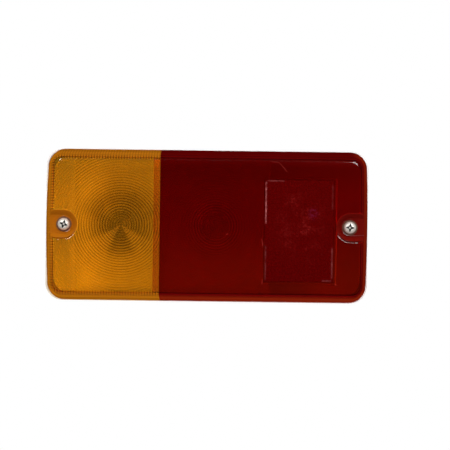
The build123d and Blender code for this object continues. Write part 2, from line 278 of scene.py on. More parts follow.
# Matt faces of the lenses, by place and by how far their normals turn from the front
MATT_END_X = 104.0
MATT_EDGE_Z = 44.0
MATT_POCKET = 10.6
MATT_DEPTH = (POCKET_FLOOR + 0.05, LENS_FRONT - CLOSE)
MATT_OUTWARD = 0.3
MATT_WALL = (-0.35, 0.02)
MATT_UPPER = (-0.97, -0.2)
MATT_LOWER = (-0.42, -0.26)

# Finish of the reflex panel; a place is its middle and its half size
PANEL_CLEARNESS = 0.6
PANEL_POLISH = (400.0, 4.0, 0.03, 0.08)
# Patches and specks of painted sparkle of the prisms
PANEL_PATCHES = (110.0, 3.0, -0.35, 1.0)
PANEL_SPARKLE = (900.0, 2.0, -0.7, 1.2)
PANEL_BLOOM = (0.24, 0.012, 0.05)
MOTTLE_PLACE = ((66.0, 2.0), (24.0, 34.0))
BLOOM_PLACE = ((74.0, 9.5), (5.0, 6.0))
PATCH_CORE = 0.2

# Finish of the other pieces; the roughness has finer grain than the colour
GLASS_CLOUD = (90.0, 3.0, 0.0, 1.0)
GLASS_POLISH = (400.0, 4.0)
FINE_GRAIN = (600.0, 3.0, 0.0, 1.0)
CLOUD_DETAIL = 4.0
ROUGH_DETAIL = 5.0
ROUGH_FINER = 3

# Worn lines and painted highlights along edges, each from one point to another with its strength
SCUFF_AND_GLINT_GRAIN = (350.0, 2.0)
SCUFF_AND_GLINT_LEAST = 0.1
SCUFF_AND_GLINT_CORE = 0.3
SCUFF_AND_GLINT_FADE = 1.0
# Painted highlights along the edges of the reflex panel
PANEL_GLINT_WIDTH = 0.9
PANEL_GLINT = (0.92, 0.28, 0.28)
PANEL_EDGE_GLINTS = (
    ((40.9, 31.5), (40.9, 1.5), 0.95),
    ((41.5, 32.0), (54.0, 32.0), 0.25),
    ((87.3, -36.0), (87.3, -14.0), 0.27),
    ((80.0, -37.3), (87.0, -37.3), 0.28),
    ((40.9, -13.0), (40.9, -37.5), 0.18),
    ((87.3, 12.0), (87.3, 30.0), 0.12),
)
RED_SCUFF_AND_GLINT_WIDTH = 0.6
RED_WORN_AND_GLINT = (0.9, 0.12, 0.1)
# A scratch, a small light dot and painted highlights along the edges of the front and of the opening for the
# reflex panel
RED_SCUFFS_AND_GLINTS = (
    ((50.0, 44.6), (55.8, 37.6), 0.65),
    ((43.0, 45.4), (50.4, 44.4), 0.4),
    ((38.1, -8.0), (39.3, -14.0), 1.0),
    ((39.2, -36.0), (38.6, -41.0), 0.8),
    ((89.2, 12.0), (89.2, 29.0), 0.08),
    ((12.9, -5.4), (15.3, -5.5), 1.2),
    ((89.2, -38.9), (91.2, -40.7), 0.8),
)

# Stage, light and camera, in metres and degrees
FLOOR_SIZE = 6.0
FLOOR_Z = -0.16
FLOOR_COLOUR = (0.8, 0.8, 0.8)
ROOM_COLOUR = (0.95, 0.97, 1.0)
ROOM_LIGHT = 0.25
ROOM_IN_GLOSS = 0.003
CARD_ANGLE = 8.0
CARD_SOFT = 3.0
LAMP_AIM = (0, -0.05, 0)
SENSOR_WIDTH = 36.0
CAMERA_DISTANCE = 1.57
ROLL = 0.76

# The photo: its side and the middle of the lens in pixels, and millimetres to a pixel at the lens
PHOTO_SIDE = 450
LENS_CENTRE_PX = (206.8, 225.85)
FRONT_SCALE = 0.695


def unpick_objects():
    bpy.ops.object.select_all(action="DESELECT")


def use(obj):
    """Make one object active and selected, in object mode."""
    if bpy.context.object and bpy.context.object.mode != "OBJECT":
        bpy.ops.object.mode_set(mode="OBJECT")
    unpick_objects()
    obj.select_set(True)
    bpy.context.view_layer.objects.active = obj


def edit(obj):
    use(obj)
    bpy.ops.object.mode_set(mode="EDIT")


def done():
    bpy.ops.object.mode_set(mode="OBJECT")


def pick(obj, kind, test):
    """Select the vertices, edges or faces of the edited mesh that pass a test."""
    bpy.ops.mesh.select_mode(type=kind)
    bpy.ops.mesh.select_all(action="DESELECT")
    mesh = bmesh.from_edit_mesh(obj.data)
    mesh.normal_update()
    group = {"VERT": mesh.verts, "EDGE": mesh.edges, "FACE": mesh.faces}[kind]
    for element in group:
        if test(element):
            element.select_set(True)
    bmesh.update_edit_mesh(obj.data)


def pick_all():
    bpy.ops.mesh.select_all(action="SELECT")


def pick_open_edges():
    bpy.ops.mesh.select_mode(type="EDGE")
    bpy.ops.mesh.select_all(action="DESELECT")
    bpy.ops.mesh.select_non_manifold()


def face_outwards():
    pick_all()
    bpy.ops.mesh.normals_make_consistent(inside=False)


def height_of(vert):
    return -vert.co.y / MM


def both(edge, test):
    return all(test(vert) for vert in edge.verts)


def settle(name, scale=(1, 1, 1)):
    """Name the new object, and fix its place, turn and scale in its mesh."""
    obj = bpy.context.object
    obj.name = name
    obj.scale = scale
    bpy.ops.object.transform_apply(location=True, rotation=True, scale=True)
    return obj


def sheet(name, low_x, high_x, low_z, high_z, height):
    """Flat rectangle that faces the front."""
    unpick_objects()
    centre = ((low_x + high_x) / 2 * MM, -height * MM, (low_z + high_z) / 2 * MM)
    bpy.ops.mesh.primitive_plane_add(size=MM, location=centre, rotation=(pi / 2, 0, 0))
    return settle(name, (high_x - low_x, high_z - low_z, 1))


def block(name, low, high):
    """Box between two corners."""
    unpick_objects()
    centre = [(a + b) / 2 * MM for a, b in zip(low, high)]
    bpy.ops.mesh.primitive_cube_add(size=MM, location=centre)
    return settle(name, [b - a for a, b in zip(low, high)])


def slab(name, low_x, high_x):
    """Block across the whole lens between two places along it."""
    return block(name, (low_x, CUT_FRONT, -CUT_SIDE), (high_x, CUT_BACK, CUT_SIDE))


def close_ends():
    """Cap the open loops of the edited mesh and point its faces outwards."""
    pick_open_edges()
    bpy.ops.mesh.edge_face_add()
    face_outwards()


def carve(body, tool, operation="DIFFERENCE", cut_finish=False):
    """Cut one mesh with another, or join or intersect them; the cut may keep the tool's finish."""
    use(body)
    modifier = body.modifiers.new("carve", "BOOLEAN")
    if cut_finish:
        modifier.material_mode = "TRANSFER"
    modifier.operation = operation
    modifier.solver = "EXACT"
    modifier.object = tool
    bpy.ops.object.modifier_apply(modifier=modifier.name)
    bpy.data.objects.remove(tool)


def twin(obj, name):
    """Copy of an object with its own mesh."""
    copy = obj.copy()
    copy.data = obj.data.copy()
    copy.name = name
    bpy.context.scene.collection.objects.link(copy)
    return copy


def smooth(obj, angle):
    use(obj)
    bpy.ops.object.shade_smooth_by_angle(angle=radians(angle))


def drafted_block(name, inset, low, high, corner, draft=LENS_DRAFT):
    """Rounded rectangle that narrows towards the front by the draft of the lens."""
    half_x = LENS_WIDTH / 2 - inset
    half_z = LENS_HEIGHT / 2 - inset
    obj = sheet(name, -half_x, half_x, -half_z, half_z, low)
    edit(obj)
    pick_all()
    bpy.ops.mesh.bevel(offset=corner * MM, segments=LENS_CORNER_STEPS, affect="VERTICES")
    pick_all()
    taper = (high - low) * tan(radians(draft))
    bpy.ops.mesh.inset(thickness=taper * MM, depth=(high - low) * MM)
    close_ends()
    done()
    return obj


def bowed_block(name, grow, low, high, draft=LENS_DRAFT):
    """Drafted block with ends that are cut up, so that they can bow."""
    obj = drafted_block(name, -grow, low, high, LENS_CORNER + grow, draft)
    edit(obj)
    pick(
        obj,
        "EDGE",
        lambda edge: edge.calc_length() > LENS_HEIGHT / 2 * MM
        and abs(edge.verts[0].co.x - edge.verts[1].co.x) < CLOSE * MM,
    )
    bpy.ops.mesh.subdivide(number_cuts=END_CUTS)
    done()
    return obj


def lens_outside(name, grow):
    """Outer form of both lenses together, with a rounded front edge."""
    obj = bowed_block(name, grow, LENS_BACK, LENS_FRONT)
    edit(obj)
    pick(
        obj,
        "EDGE",
        lambda edge: both(edge, lambda v: height_of(v) > LENS_FRONT - CLOSE)
        and edge.calc_face_angle() > FRONT_EDGE_ANGLE,
    )
    bpy.ops.mesh.bevel(offset=FRONT_ROUND * MM, segments=FRONT_ROUND_STEPS)
    done()
    return obj


def foot_skirt():
    """Sloping skirt round the foot of the lens, in front of the rim of the housing."""
    obj = bowed_block("skirt", SKIRT_REACH, SKIRT_LOW, SKIRT_HIGH, SKIRT_DRAFT)
    edit(obj)
    pick_all()
    bpy.ops.transform.resize(value=(SKIRT_STRETCH, 1, 1), center_override=(0, 0, 0))
    done()
    return obj


def crisp_skirt(lens):
    """Keep the crease at the top of the skirt sharp."""
    edit(lens)
    pick(
        lens,
        "EDGE",
        lambda edge: both(edge, lambda v: CREASE_LOW < height_of(v) < SKIRT_HIGH)
        and CREASE_ANGLES[0] < edge.calc_face_angle(0) < CREASE_ANGLES[1],
    )
    bpy.ops.mesh.mark_sharp()
    done()


def pocket_radius(height):
    return POCKET_RADIUS + (height - POCKET_FLOOR) * tan(radians(POCKET_FLARE))


def pocket(side, wall, low, high, floor_edge):
    """Flared U shape round a lens screw, open to the end of the lamp."""
    radius = pocket_radius(high) + wall
    taper = (high - low) * tan(radians(POCKET_FLARE))
    far = side * LENS_WIDTH
    near = side * (SCREW_X - radius)
    obj = sheet("pocket", min(near, far), max(near, far), -radius, radius, high)
    edit(obj)
    pick(obj, "VERT", lambda v: abs(v.co.x - near * MM) < CLOSE * MM)
    bpy.ops.mesh.bevel(offset=radius * MM, segments=POCKET_STEPS, affect="VERTICES")
    pick_all()
    bpy.ops.mesh.remove_doubles(threshold=CLOSE * MM)
    bpy.ops.mesh.inset(thickness=taper * MM, depth=(low - high) * MM)
    close_ends()
    if floor_edge:
        pick(obj, "EDGE", lambda edge: both(edge, lambda v: height_of(v) < low + CLOSE))
        bpy.ops.mesh.bevel(offset=floor_edge * MM, segments=POCKET_FLOOR_STEPS)
    done()
    return obj


def post(name, x, radius, low, high, steps):
    """Round bar along the depth of the lamp."""
    unpick_objects()
    bpy.ops.mesh.primitive_cylinder_add(
        vertices=steps,
        radius=radius * MM,
        depth=(high - low) * MM,
        location=(x * MM, -(low + high) / 2 * MM, 0),
        rotation=(pi / 2, 0, 0),
    )
    return settle(name)


def turned(name, x, points, steps):
    """Turned piece on an axis along the depth: points are (radius, height) from one end to the other."""
    unpick_objects()
    bpy.ops.mesh.primitive_plane_add(size=MM, location=(x * MM, 0, 0))
    obj = settle(name)
    edit(obj)
    bpy.ops.mesh.select_mode(type="VERT")
    pick_all()
    bpy.ops.mesh.merge(type="CENTER")
    radius, height = points[0]
    bpy.ops.transform.translate(value=(radius * MM, -height * MM, 0))
    for next_radius, next_height in points[1:]:
        shift = ((next_radius - radius) * MM, (height - next_height) * MM, 0)
        bpy.ops.mesh.extrude_region_move(TRANSFORM_OT_translate={"value": shift})
        radius, height = next_radius, next_height
    pick_all()
    bpy.ops.mesh.spin(steps=steps, angle=2 * pi, center=(x * MM, 0, 0), axis=(0, 1, 0))
    pick_all()
    bpy.ops.mesh.remove_doubles(threshold=MERGE_CLOSE * MM)
    bpy.ops.mesh.delete_loose()
    face_outwards()
    done()
    return obj


def ring_crown(step):
    """How far a ring stands out at one step along its radius; the outer rings are lower."""
    phase = (step / RING_STEPS + 0.5 - RING_SHIFT) % 1.0
    near, far, least = RING_FALL
    share = min(max((step / RING_STEPS * RING_PITCH - near) / (far - near), 0), 1)
    return RING_BASE + RING_HEIGHT * (1 - share * (1 - least)) * (1 - (2 * phase - 1) ** 2)


def ring_field(name, x, low_x, high_x, reach):
    """Block of concentric rounded ridges, trimmed to its part of the lens."""
    count = int(reach / RING_PITCH) + 1
    root = LENS_INNER + RING_ROOT
    points = [(0, root)]
    for step in range(count * RING_STEPS + 1):
        points.append((step * RING_PITCH / RING_STEPS, LENS_INNER - ring_crown(step)))
    points += [(count * RING_PITCH, root), (0, root)]
    obj = turned(name, x, points, RING_TURNS)
    taper = (LENS_INNER - LENS_BACK) * tan(radians(LENS_DRAFT))
    half_z = LENS_HEIGHT / 2 - LENS_WALL - taper - RING_MARGIN
    edit(obj)
    for point, normal in (
        ((low_x, 0, 0), (-1, 0, 0)),
        ((high_x, 0, 0), (1, 0, 0)),
        ((0, 0, -half_z), (0, 0, -1)),
        ((0, 0, half_z), (0, 0, 1)),
    ):
        pick_all()
        bpy.ops.mesh.bisect(
            plane_co=Vector(point) * MM,
            plane_no=normal,
            use_fill=True,
            clear_outer=True,
            threshold=CUT_CLOSE * MM,
        )
    face_outwards()
    done()
    return obj


def fluted_cavity():
    """Hollow of the lens, with flutes along its side walls."""
    half_x = LENS_WIDTH / 2 - LENS_WALL
    half_z = LENS_HEIGHT / 2 - LENS_WALL
    obj = sheet("cavity", -half_x, half_x, -half_z, half_z, LENS_BACK - PAST)
    edit(obj)
    pick_all()
    bpy.ops.mesh.bevel(
        offset=(LENS_CORNER - LENS_WALL) * MM, segments=LENS_CORNER_STEPS, affect="VERTICES"
    )
    for axis, side_length in ((0, 2 * half_x), (2, 2 * half_z)):
        across = 2 - axis
        limit = (half_z if axis == 0 else half_x) * MM
        straight = side_length - 2 * (LENS_CORNER - LENS_WALL)
        cuts = 2 * round(straight / FLUTE_PITCH) - 1
        pick(
            obj,
            "EDGE",
            lambda edge: edge.calc_length() > straight * MM * NEARLY
            and both(edge, lambda v: abs(abs(v.co[across]) - limit) < CLOSE * MM),
        )
        bpy.ops.mesh.subdivide(number_cuts=cuts)
        step = straight / (cuts + 1)
        for side in SIDES:
            pick(
                obj,
                "VERT",
                lambda v: abs(v.co[across] - side * limit) < CLOSE * MM
                and abs(v.co[axis]) < (straight / 2 - step / 2) * MM
                and round((v.co[axis] / MM + straight / 2) / step) % 2 == 1,
            )
            shift = [0, 0, 0]
            shift[across] = side * FLUTE_DEPTH * MM
            bpy.ops.transform.translate(value=shift)
    bpy.ops.mesh.select_mode(type="FACE")
    pick_all()
    depth = LENS_INNER - LENS_BACK + PAST
    taper = depth * tan(radians(LENS_DRAFT))
    bpy.ops.mesh.extrude_region_move(TRANSFORM_OT_translate={"value": (0, -depth * MM, 0)})
    bpy.ops.transform.resize(
        value=(1 - taper / half_x, 1, 1 - taper / half_z), center_override=(0, -LENS_INNER * MM, 0)
    )
    close_ends()
    done()
    return obj


def lens_shell():
    """Both lenses as one moulding, before it is parted at the joint."""
    shell = lens_outside("lens", 0)
    carve(shell, foot_skirt(), "UNION")
    cavity = fluted_cavity()
    for side in SIDES:
        carve(shell, pocket(side, 0, POCKET_FLOOR, POCKET_TOP, POCKET_FLOOR_EDGE))
        carve(shell, post("hole", side * SCREW_X, SCREW_HOLE, HOLE_LOW, POCKET_TOP, HOLE_STEPS))
    edit(shell)
    bpy.ops.mesh.select_mode(type="EDGE")
    bpy.ops.mesh.select_all(action="DESELECT")
    bpy.ops.mesh.edges_select_sharp(sharpness=radians(POCKET_EDGE_ANGLE))
    mesh = bmesh.from_edit_mesh(shell.data)
    for edge in mesh.edges:
        if not both(edge, lambda v: height_of(v) > POCKET_EDGE_LOW):
            edge.select_set(False)
    bmesh.update_edit_mesh(shell.data)
    bpy.ops.mesh.bevel(offset=POCKET_EDGE * MM, segments=POCKET_EDGE_STEPS)
    done()
    for side in SIDES:
        carve(cavity, pocket(side, POCKET_WALL, POCKET_UNDERSIDE, POCKET_TOP, 0))
    carve(cavity, ring_field("amber_rings", TURN_X, *AMBER_RINGS))
    carve(cavity, ring_field("red_rings", STOP_X, *RED_RINGS))
    carve(shell, cavity)
    return shell


def part_lenses(shell):
    """Part the moulding at the joint, where a tongue of the red lens laps under the amber one."""
    red = twin(shell, "red_lens_moulding")
    amber = shell
    amber.name = "amber_lens_moulding"
    carve(amber, slab("amber_side", CUT_END, JOINT_X), "INTERSECT")
    tongue = drafted_block("lap", LAP_INSET, LENS_BACK - PAST, LAP_FRONT, LENS_CORNER - LAP_INSET)
    seat = slab("lap_seat", JOINT_X - LAP_LENGTH, JOINT_X + LAP_PAST)
    carve(seat, tongue, "INTERSECT")
    carve(amber, seat)
    inset = LAP_INSET + BOND_GAP
    tongue = drafted_block("lap", inset, LENS_BACK - PAST, LAP_FRONT - BOND_GAP, LENS_CORNER - inset)
    over = slab("over_lap", CUT_END, JOINT_X + BOND_GAP)
    carve(over, tongue)
    carve(red, over)
    carve(red, slab("tongue_end", CUT_END, JOINT_X - LAP_LENGTH + BOND_GAP))
    return amber, red


def close_slivers(lens):
    """Close the hair-thin gaps that the cuts leave."""
    edit(lens)
    pick_open_edges()
    bpy.ops.mesh.fill_holes(sides=0)
    done()


def gasket_ring(foot):
    """Pale gasket under the lens, with a lip that fills the gap round the foot of the lens."""
    fit = GASKET_FIT
    obj = drafted_block("lens_gasket_ring", -fit, GASKET_LOW, GASKET_LIP, LENS_CORNER + fit, 0)
    inner = LENS_WALL + fit
    carve(obj, drafted_block("inside", inner, GASKET_LOW - PAST, LENS_BACK, LENS_CORNER - inner, 0))
    above = drafted_block("above", fit, LENS_BACK - GASKET_STEP, LENS_FRONT, LENS_CORNER - fit, 0)
    carve(obj, above)
    carve(obj, foot)
    smooth(obj, GASKET_SMOOTH)
    return obj


def panel_tool(border, low, high, slope):
    """Cutter with sloping sides round the reflex panel, wider at the front."""
    half_x = PANEL_WIDTH / 2 + border + slope
    half_z = PANEL_HEIGHT / 2 + border + slope
    obj = sheet("opening", PANEL_X - half_x, PANEL_X + half_x, PANEL_Z - half_z, PANEL_Z + half_z, high)
    edit(obj)
    pick_all()
    bpy.ops.mesh.inset(thickness=slope * MM, depth=(low - high) * MM)
    close_ends()
    done()
    return obj


def thread(low, high, root, crest, pitch):
    """Ridges of a thread, from the high end to the low end."""
    points = []
    start, full, end = THREAD_FORM
    height = high
    while height - pitch > low:
        points += [(root, height), (root, height - start * pitch)]
        points += [(crest, height - full * pitch), (crest, height - end * pitch)]
        height -= pitch
    return points


def slot_tool(x, turn):
    """One tapered bar of a cross recess with pointed ends, turned about the screw."""
    half = RECESS_LENGTH / 2
    wide = RECESS_WIDTH / 2
    axis = (x * MM, 0, 0)
    low = (x - half, -SCREW_TOP - RECESS_PAST, -wide)
    bar = block("bar", low, (x + half, -SCREW_TOP + RECESS_DEPTH, wide))
    edit(bar)
    pick(bar, "EDGE", lambda edge: abs(edge.verts[0].co.x - edge.verts[1].co.x) > half * MM)
    bpy.ops.mesh.subdivide(number_cuts=RECESS_CUTS)
    pick(bar, "VERT", lambda v: abs(v.co.x - x * MM) > NEARLY * half * MM)
    bpy.ops.transform.resize(value=(1, 1, RECESS_POINT), center_override=axis)
    pick(bar, "VERT", lambda v: height_of(v) < SCREW_TOP - RECESS_DEPTH + RECESS_FLOOR)
    bpy.ops.transform.resize(value=RECESS_TAPER, center_override=axis)
    pick_all()
    bpy.ops.transform.rotate(
        value=-radians(turn), orient_axis="Y", orient_type="GLOBAL", center_override=axis
    )
    done()
    return bar


def lens_screw(side, turn):
    """Pan head screw with a cross recess."""
    x = side * SCREW_X
    points = SCREW_HEAD + SCREW_NECK + thread(*SCREW_THREAD) + SCREW_TIP
    obj = turned("lens_screw_" + SIDE_NAMES[side], x, points, SCREW_FACETS)
    dress(obj, STEEL)
    for extra in (0, 90):
        bar = slot_tool(x, turn + extra)
        # The walls of the cross take a near-black finish, painted shade for the shade inside it
        dress(bar, RECESS_PAINTED_SHADE)
        carve(obj, bar, cut_finish=True)
    bottom = SCREW_TOP - RECESS_DEPTH - RECESS_SINK
    centre = post("centre", x, RECESS_CENTRE, bottom, SCREW_TOP + PAST, RECESS_FACETS)
    dress(centre, STEEL)
    carve(obj, centre, cut_finish=True)
    smooth(obj, SCREW_SMOOTH)
    return obj


def screw_seal(side):
    """Rounded sealing washer under a screw head."""
    loop = []
    for step in range(SEAL_STEPS + 1):
        angle = 2 * pi * (step % SEAL_STEPS + 0.5) / SEAL_STEPS
        loop.append((SEAL_RADIUS + SEAL_HALF[0] * cos(angle), SEAL_HEIGHT + SEAL_HALF[1] * sin(angle)))
    obj = turned("screw_seal_" + SIDE_NAMES[side], side * SCREW_X, loop, SEAL_FACETS)
    smooth(obj, SEAL_SMOOTH)
    return obj


def on_prisms(face):
    """Whether a face is one of the squares on the back of the reflex panel."""
    middle = face.calc_center_median() / MM
    near_x = abs(middle.x - PANEL_X) < PANEL_WIDTH / 2 - PRISM_MARGIN
    near_z = abs(middle.z - PANEL_Z) < PANEL_HEIGHT / 2 - PRISM_MARGIN
    return face.normal.y > NEARLY and near_x and near_z


def reflex_panel():
    """Reflex panel: a raised pad on a flange, with a field of small pyramids on its back."""
    size_x = PANEL_WIDTH - PANEL_RIM
    size_z = PANEL_HEIGHT - PANEL_RIM
    height = PRISM_BACK
    unpick_objects()
    bpy.ops.mesh.primitive_grid_add(
        x_subdivisions=PRISMS_ACROSS,
        y_subdivisions=PRISMS_UP,
        size=MM,
        location=(PANEL_X * MM, -height * MM, PANEL_Z * MM),
        rotation=(-pi / 2, 0, 0),
    )
    obj = settle("reflex_panel", (size_x, size_z, 1))
    edit(obj)
    pick_open_edges()
    for grow, next_height in PANEL_STEPS:
        next_x = PANEL_WIDTH + grow
        next_z = PANEL_HEIGHT + grow
        shift = (0, (height - next_height) * MM, 0)
        bpy.ops.mesh.extrude_edges_move(TRANSFORM_OT_translate={"value": shift})
        bpy.ops.transform.resize(
            value=(next_x / size_x, 1, next_z / size_z), center_override=(PANEL_X * MM, 0, PANEL_Z * MM)
        )
        size_x, size_z, height = next_x, next_z, next_height
    bpy.ops.mesh.edge_face_add()
    pick(obj, "FACE", on_prisms)
    bpy.ops.mesh.poke(offset=PRISM_DEPTH * MM)
    face_outwards()
    done()
    smooth(obj, PANEL_SMOOTH)
    return obj


def bulb(name, x):
    """Clear bulb: hollow glass, plated cap and glass stem."""
    inner = []
    for radius, height in BULB_GLASS[:-1]:
        drop = GLASS_WALL if radius < BULB_CROWN else GLASS_WALL / 2
        inner.append((max(0, radius - GLASS_WALL), height - drop))
    foot_radius, foot_height = BULB_GLASS[-1]
    inner.append((foot_radius - GLASS_WALL, foot_height))
    glass = turned(name + "_glass", x, BULB_GLASS + inner[::-1], BULB_FACETS)
    cap = turned(name + "_cap", x, BULB_CAP, BULB_FACETS)
    stem = turned(name + "_stem", x, BULB_STEM, STEM_FACETS)
    for piece in (glass, cap, stem):
        smooth(piece, BULB_SMOOTH)
    return glass, cap, stem


def stud(side):
    """Threaded stud with its head held in the housing."""
    points = STUD_HEAD + STUD_NECK + thread(*STUD_THREAD) + STUD_TIP
    obj = turned("mounting_stud_" + SIDE_NAMES[side], side * STUD_X, points, STUD_FACETS)
    smooth(obj, SCREW_SMOOTH)
    return obj


def bow_ends(lenses):
    """Draw the corners of the lens in a little, so that its ends are slightly round."""
    unpick_objects()
    bpy.ops.object.add(type="LATTICE", location=(0, -(LENS_BACK + LENS_FRONT) / 2 * MM, 0))
    cage = bpy.context.object
    cage.scale = (LENS_WIDTH * MM, (LENS_FRONT - LENS_BACK + 2 * PAST) * MM, LENS_HEIGHT * MM)
    for axis, count in zip("uvw", CAGE_POINTS):
        setattr(cage.data, "points_" + axis, count)
        setattr(cage.data, "interpolation_type_" + axis, "KEY_LINEAR")
    for point in cage.data.points:
        if abs(point.co.x) > CAGE_END:
            side = 1 if point.co.x > 0 else -1
            point.co_deform.x -= side * (2 * point.co.z) ** 2 * END_BOW[side] / LENS_WIDTH
    for lens in lenses:
        use(lens)
        modifier = lens.modifiers.new("bow", "LATTICE")
        modifier.object = cage
        bpy.ops.object.modifier_apply(modifier=modifier.name)
    bpy.data.objects.remove(cage)


class Canvas:
    """The node tree that is being filled, of a material or of the world."""

    tree = None


def start_canvas(owner):
    """Clear the nodes of a material or a world, and fill these from now on."""
    owner.use_nodes = True
    Canvas.tree = owner.node_tree
    Canvas.tree.nodes.clear()


def new_material(name):
    """Empty node material, which takes the nodes that are made next."""
    material = bpy.data.materials.new(name)
    start_canvas(material)
    return material


def node(kind, inputs=None, **settings):
    """Add a shader node. An input is a number, a colour or the output of another node."""
    made = Canvas.tree.nodes.new("ShaderNode" + kind)
    for key, value in settings.items():
        setattr(made, key, value)
    for key, value in (inputs or {}).items():
        if isinstance(value, tuple):
            made.inputs[key].default_value = (*value, 1)
        elif isinstance(value, (int, float)):
            made.inputs[key].default_value = value
        else:
            Canvas.tree.links.new(value, made.inputs[key])
    return made


def calc(operation, first, second=0.0):
    """Math on two values, each a number or the output of a node."""
    return node("Math", {0: first, 1: second}, operation=operation).outputs[0]


def times(product, *others):
    for other in others:
        product = calc("MULTIPLY", product, other)
    return product


def plus(first, second):
    return calc("ADD", first, second)


def minus(first, second):
    return calc("SUBTRACT", first, second)


def unsigned(value):
    return calc("ABSOLUTE", value)


def length(first, second):
    """Length of a way whose two parts are at right angles."""
    return calc("SQRT", plus(times(first, first), times(second, second)))


def spread(value, low, high, start, end, **settings):
    """Value that goes from start to end as another goes from low to high."""
    inputs = {"Value": value, "From Min": low, "From Max": high, "To Min": start, "To Max": end}
    return node("MapRange", inputs, **settings).outputs["Result"]


def rise(value, low, high, start=0.0, end=1.0):
    """Smooth step from start to end as a value goes from low to high."""
    return spread(value, low, high, start, end, interpolation_type="SMOOTHSTEP")


def grain(scale, detail, low, high):
    """Noise on the object's own coordinates, spread between two values."""
    coordinates = node("TexCoord").outputs["Object"]
    noise = node("TexNoise", {"Vector": coordinates, "Scale": scale, "Detail": detail})
    return spread(noise.outputs["Fac"], *NOISE_SPAN, low, high)


def spot():
    """Place on the object in millimetres: x, height and z."""
    coordinates = node("TexCoord").outputs["Object"]
    split = node("SeparateXYZ", {"Vector": coordinates})
    scales = {"X": 1 / MM, "Y": -1 / MM, "Z": 1 / MM}
    return [times(split.outputs[axis], scale) for axis, scale in scales.items()]


def tint(factor, first, second, blend_type="MIX"):
    """Blend of two colours by a factor."""
    inputs = {0: factor, 6: first, 7: second}
    return node("Mix", inputs, data_type="RGBA", blend_type=blend_type).outputs[2]


def dimmed(colour, shade):
    """A colour darkened by a shade, which counts from nought to one."""
    return tint(shade, (0, 0, 0), colour)


def filtered(colour, shade):
    """A colour multiplied by a shade or by another colour."""
    return tint(1.0, colour, shade, "MULTIPLY")


def either(factor, first, second):
    """One surface or another."""
    return node("MixShader", {0: factor, 1: first, 2: second}).outputs[0]


def relief(height, distance):
    inputs = {"Height": height, "Distance": distance * MM, "Strength": 1.0}
    return node("Bump", inputs).outputs["Normal"]


def past_border(x, z):
    """How far a point lies outside the rounded edge of the front, in millimetres."""
    beyond = []
    for value, limit in ((x, BORDER_X), (z, BORDER_Z)):
        inside = minus(unsigned(value), limit - BORDER_CORNER)
        beyond.append(calc("MAXIMUM", inside, 0.0))
    return minus(length(*beyond), BORDER_CORNER)


def past_pocket(x, z):
    """How far a point lies inside the mouth of a screw pocket, in millimetres."""
    from_screw = minus(unsigned(x), SCREW_X)
    reach = length(calc("MINIMUM", from_screw, 0.0), z)
    return minus(pocket_radius(LENS_FRONT) + MOUTH_ROUND, reach)


def off_middle(turns):
    """How far a count of pitches is from the middle of its pitch."""
    return unsigned(minus(calc("FRACT", turns), 0.5))


def flutes(x, z, shade):
    """Fine dark lines of painted shade along the flutes, which run up the ends and along the upper and lower
    edges.
    """
    past_end = plus(unsigned(x), BORDER_Z - BORDER_X)
    at_end = calc("GREATER_THAN", past_end, unsigned(z))
    off_end = minus(1.0, at_end)
    along = plus(times(at_end, z), times(off_end, x))
    off = off_middle(calc("DIVIDE", along, FLUTE_PITCH))
    return rise(off, *FLUTE_LINE, 1.0 - shade, 1.0)


def teeth(x, z, edge, mouth):
    """Dark dashes of painted shade where the flutes of the walls meet the front, but not in the pockets."""
    off_mouth = rise(mouth, *MOUTH_EDGE, 1.0, 0.0)
    band = times(rise(edge, *TEETH_INNER), rise(edge, *TEETH_OUTER), off_mouth)
    dash = minus(1.0, flutes(x, z, TEETH_SHADE))
    return minus(1.0, times(band, dash))


def ring_shade(across, z, radius, look):
    """Painted shade: thin dark lines in the valleys of the rings, fainter further out except at the upper
    left.
    """
    near_depth, far_depth, corner_depth = look["ring_shade_depth"]
    turns = plus(calc("DIVIDE", radius, RING_PITCH), 1.0 - RING_SHIFT)
    band = rise(off_middle(turns), *RING_LINE)
    outer = rise(minus(z, across), *RING_CORNER, far_depth, corner_depth)
    share = rise(radius, *look["ring_fade"])
    inner = times(minus(1.0, share), near_depth)
    strength = plus(inner, times(share, outer))
    dark = times(minus(1.0, band), strength)
    return minus(1.0, dark)


def wedge_shade(across, z, radius):
    """Painted shade in the middle of the amber rings, with wedges of painted light on its diagonals."""
    angle = calc("ARCTAN2", z, across)
    upward = calc("SINE", angle)
    fourfold = calc("COSINE", times(angle, 4.0))
    diagonal = rise(fourfold, *WEDGE_SPAN)
    side = rise(upward, *WEDGE_SIDES, WEDGE_LOWER, WEDGE_UPPER)
    light = plus(WEDGE_DARK, times(diagonal, side))
    right = rise(calc("COSINE", angle), *WEDGE_RIGHT_SPAN, 0.0, WEDGE_RIGHT)
    light = plus(light, right)
    further = rise(upward, *WEDGE_RAISED_SPAN, 0.0, WEDGE_RAISED)
    reach = rise(minus(radius, further), *WEDGE_REACH)
    return plus(reach, times(minus(1.0, reach), light))


def lap_tint(x):
    """Browner amber where the red tongue lies behind it."""
    start = JOINT_X - LAP_LENGTH
    behind = rise(x, start - LAP_SOFT, start + LAP_SOFT)
    return tint(behind, (1.0, 1.0, 1.0), LAP_COLOUR)


def painted_foot_light(x, z):
    """How much painted light from the floor the walls get towards the foot: most below, some at the ends,
    none on top.
    """
    ends = rise(unsigned(x), *FOOT_ENDS, 0.0, END_LIGHT)
    return calc("MAXIMUM", rise(z, *LOWER_EDGE), ends)


def painted_edge_light(x, z, edge, mouth, light):
    """Painted light on the rounding at the ends and along the lower edge, where little light falls."""
    below = times(rise(z, *LOWER_EDGE, 0.0, light[0]), rise(edge, *LIFT_BELOW))
    ends = rise(unsigned(x), *LIFT_ENDS, 0.0, light[1])
    off_mouth = rise(mouth, *MOUTH_EDGE, 1.0, 0.0)
    ends = times(ends, rise(edge, *LIFT_INNER), off_mouth, rise(edge, *LIFT_CREST))
    share = times(calc("MAXIMUM", below, ends), rise(edge, *LIFT_OUTER))
    return plus(1.0, share)


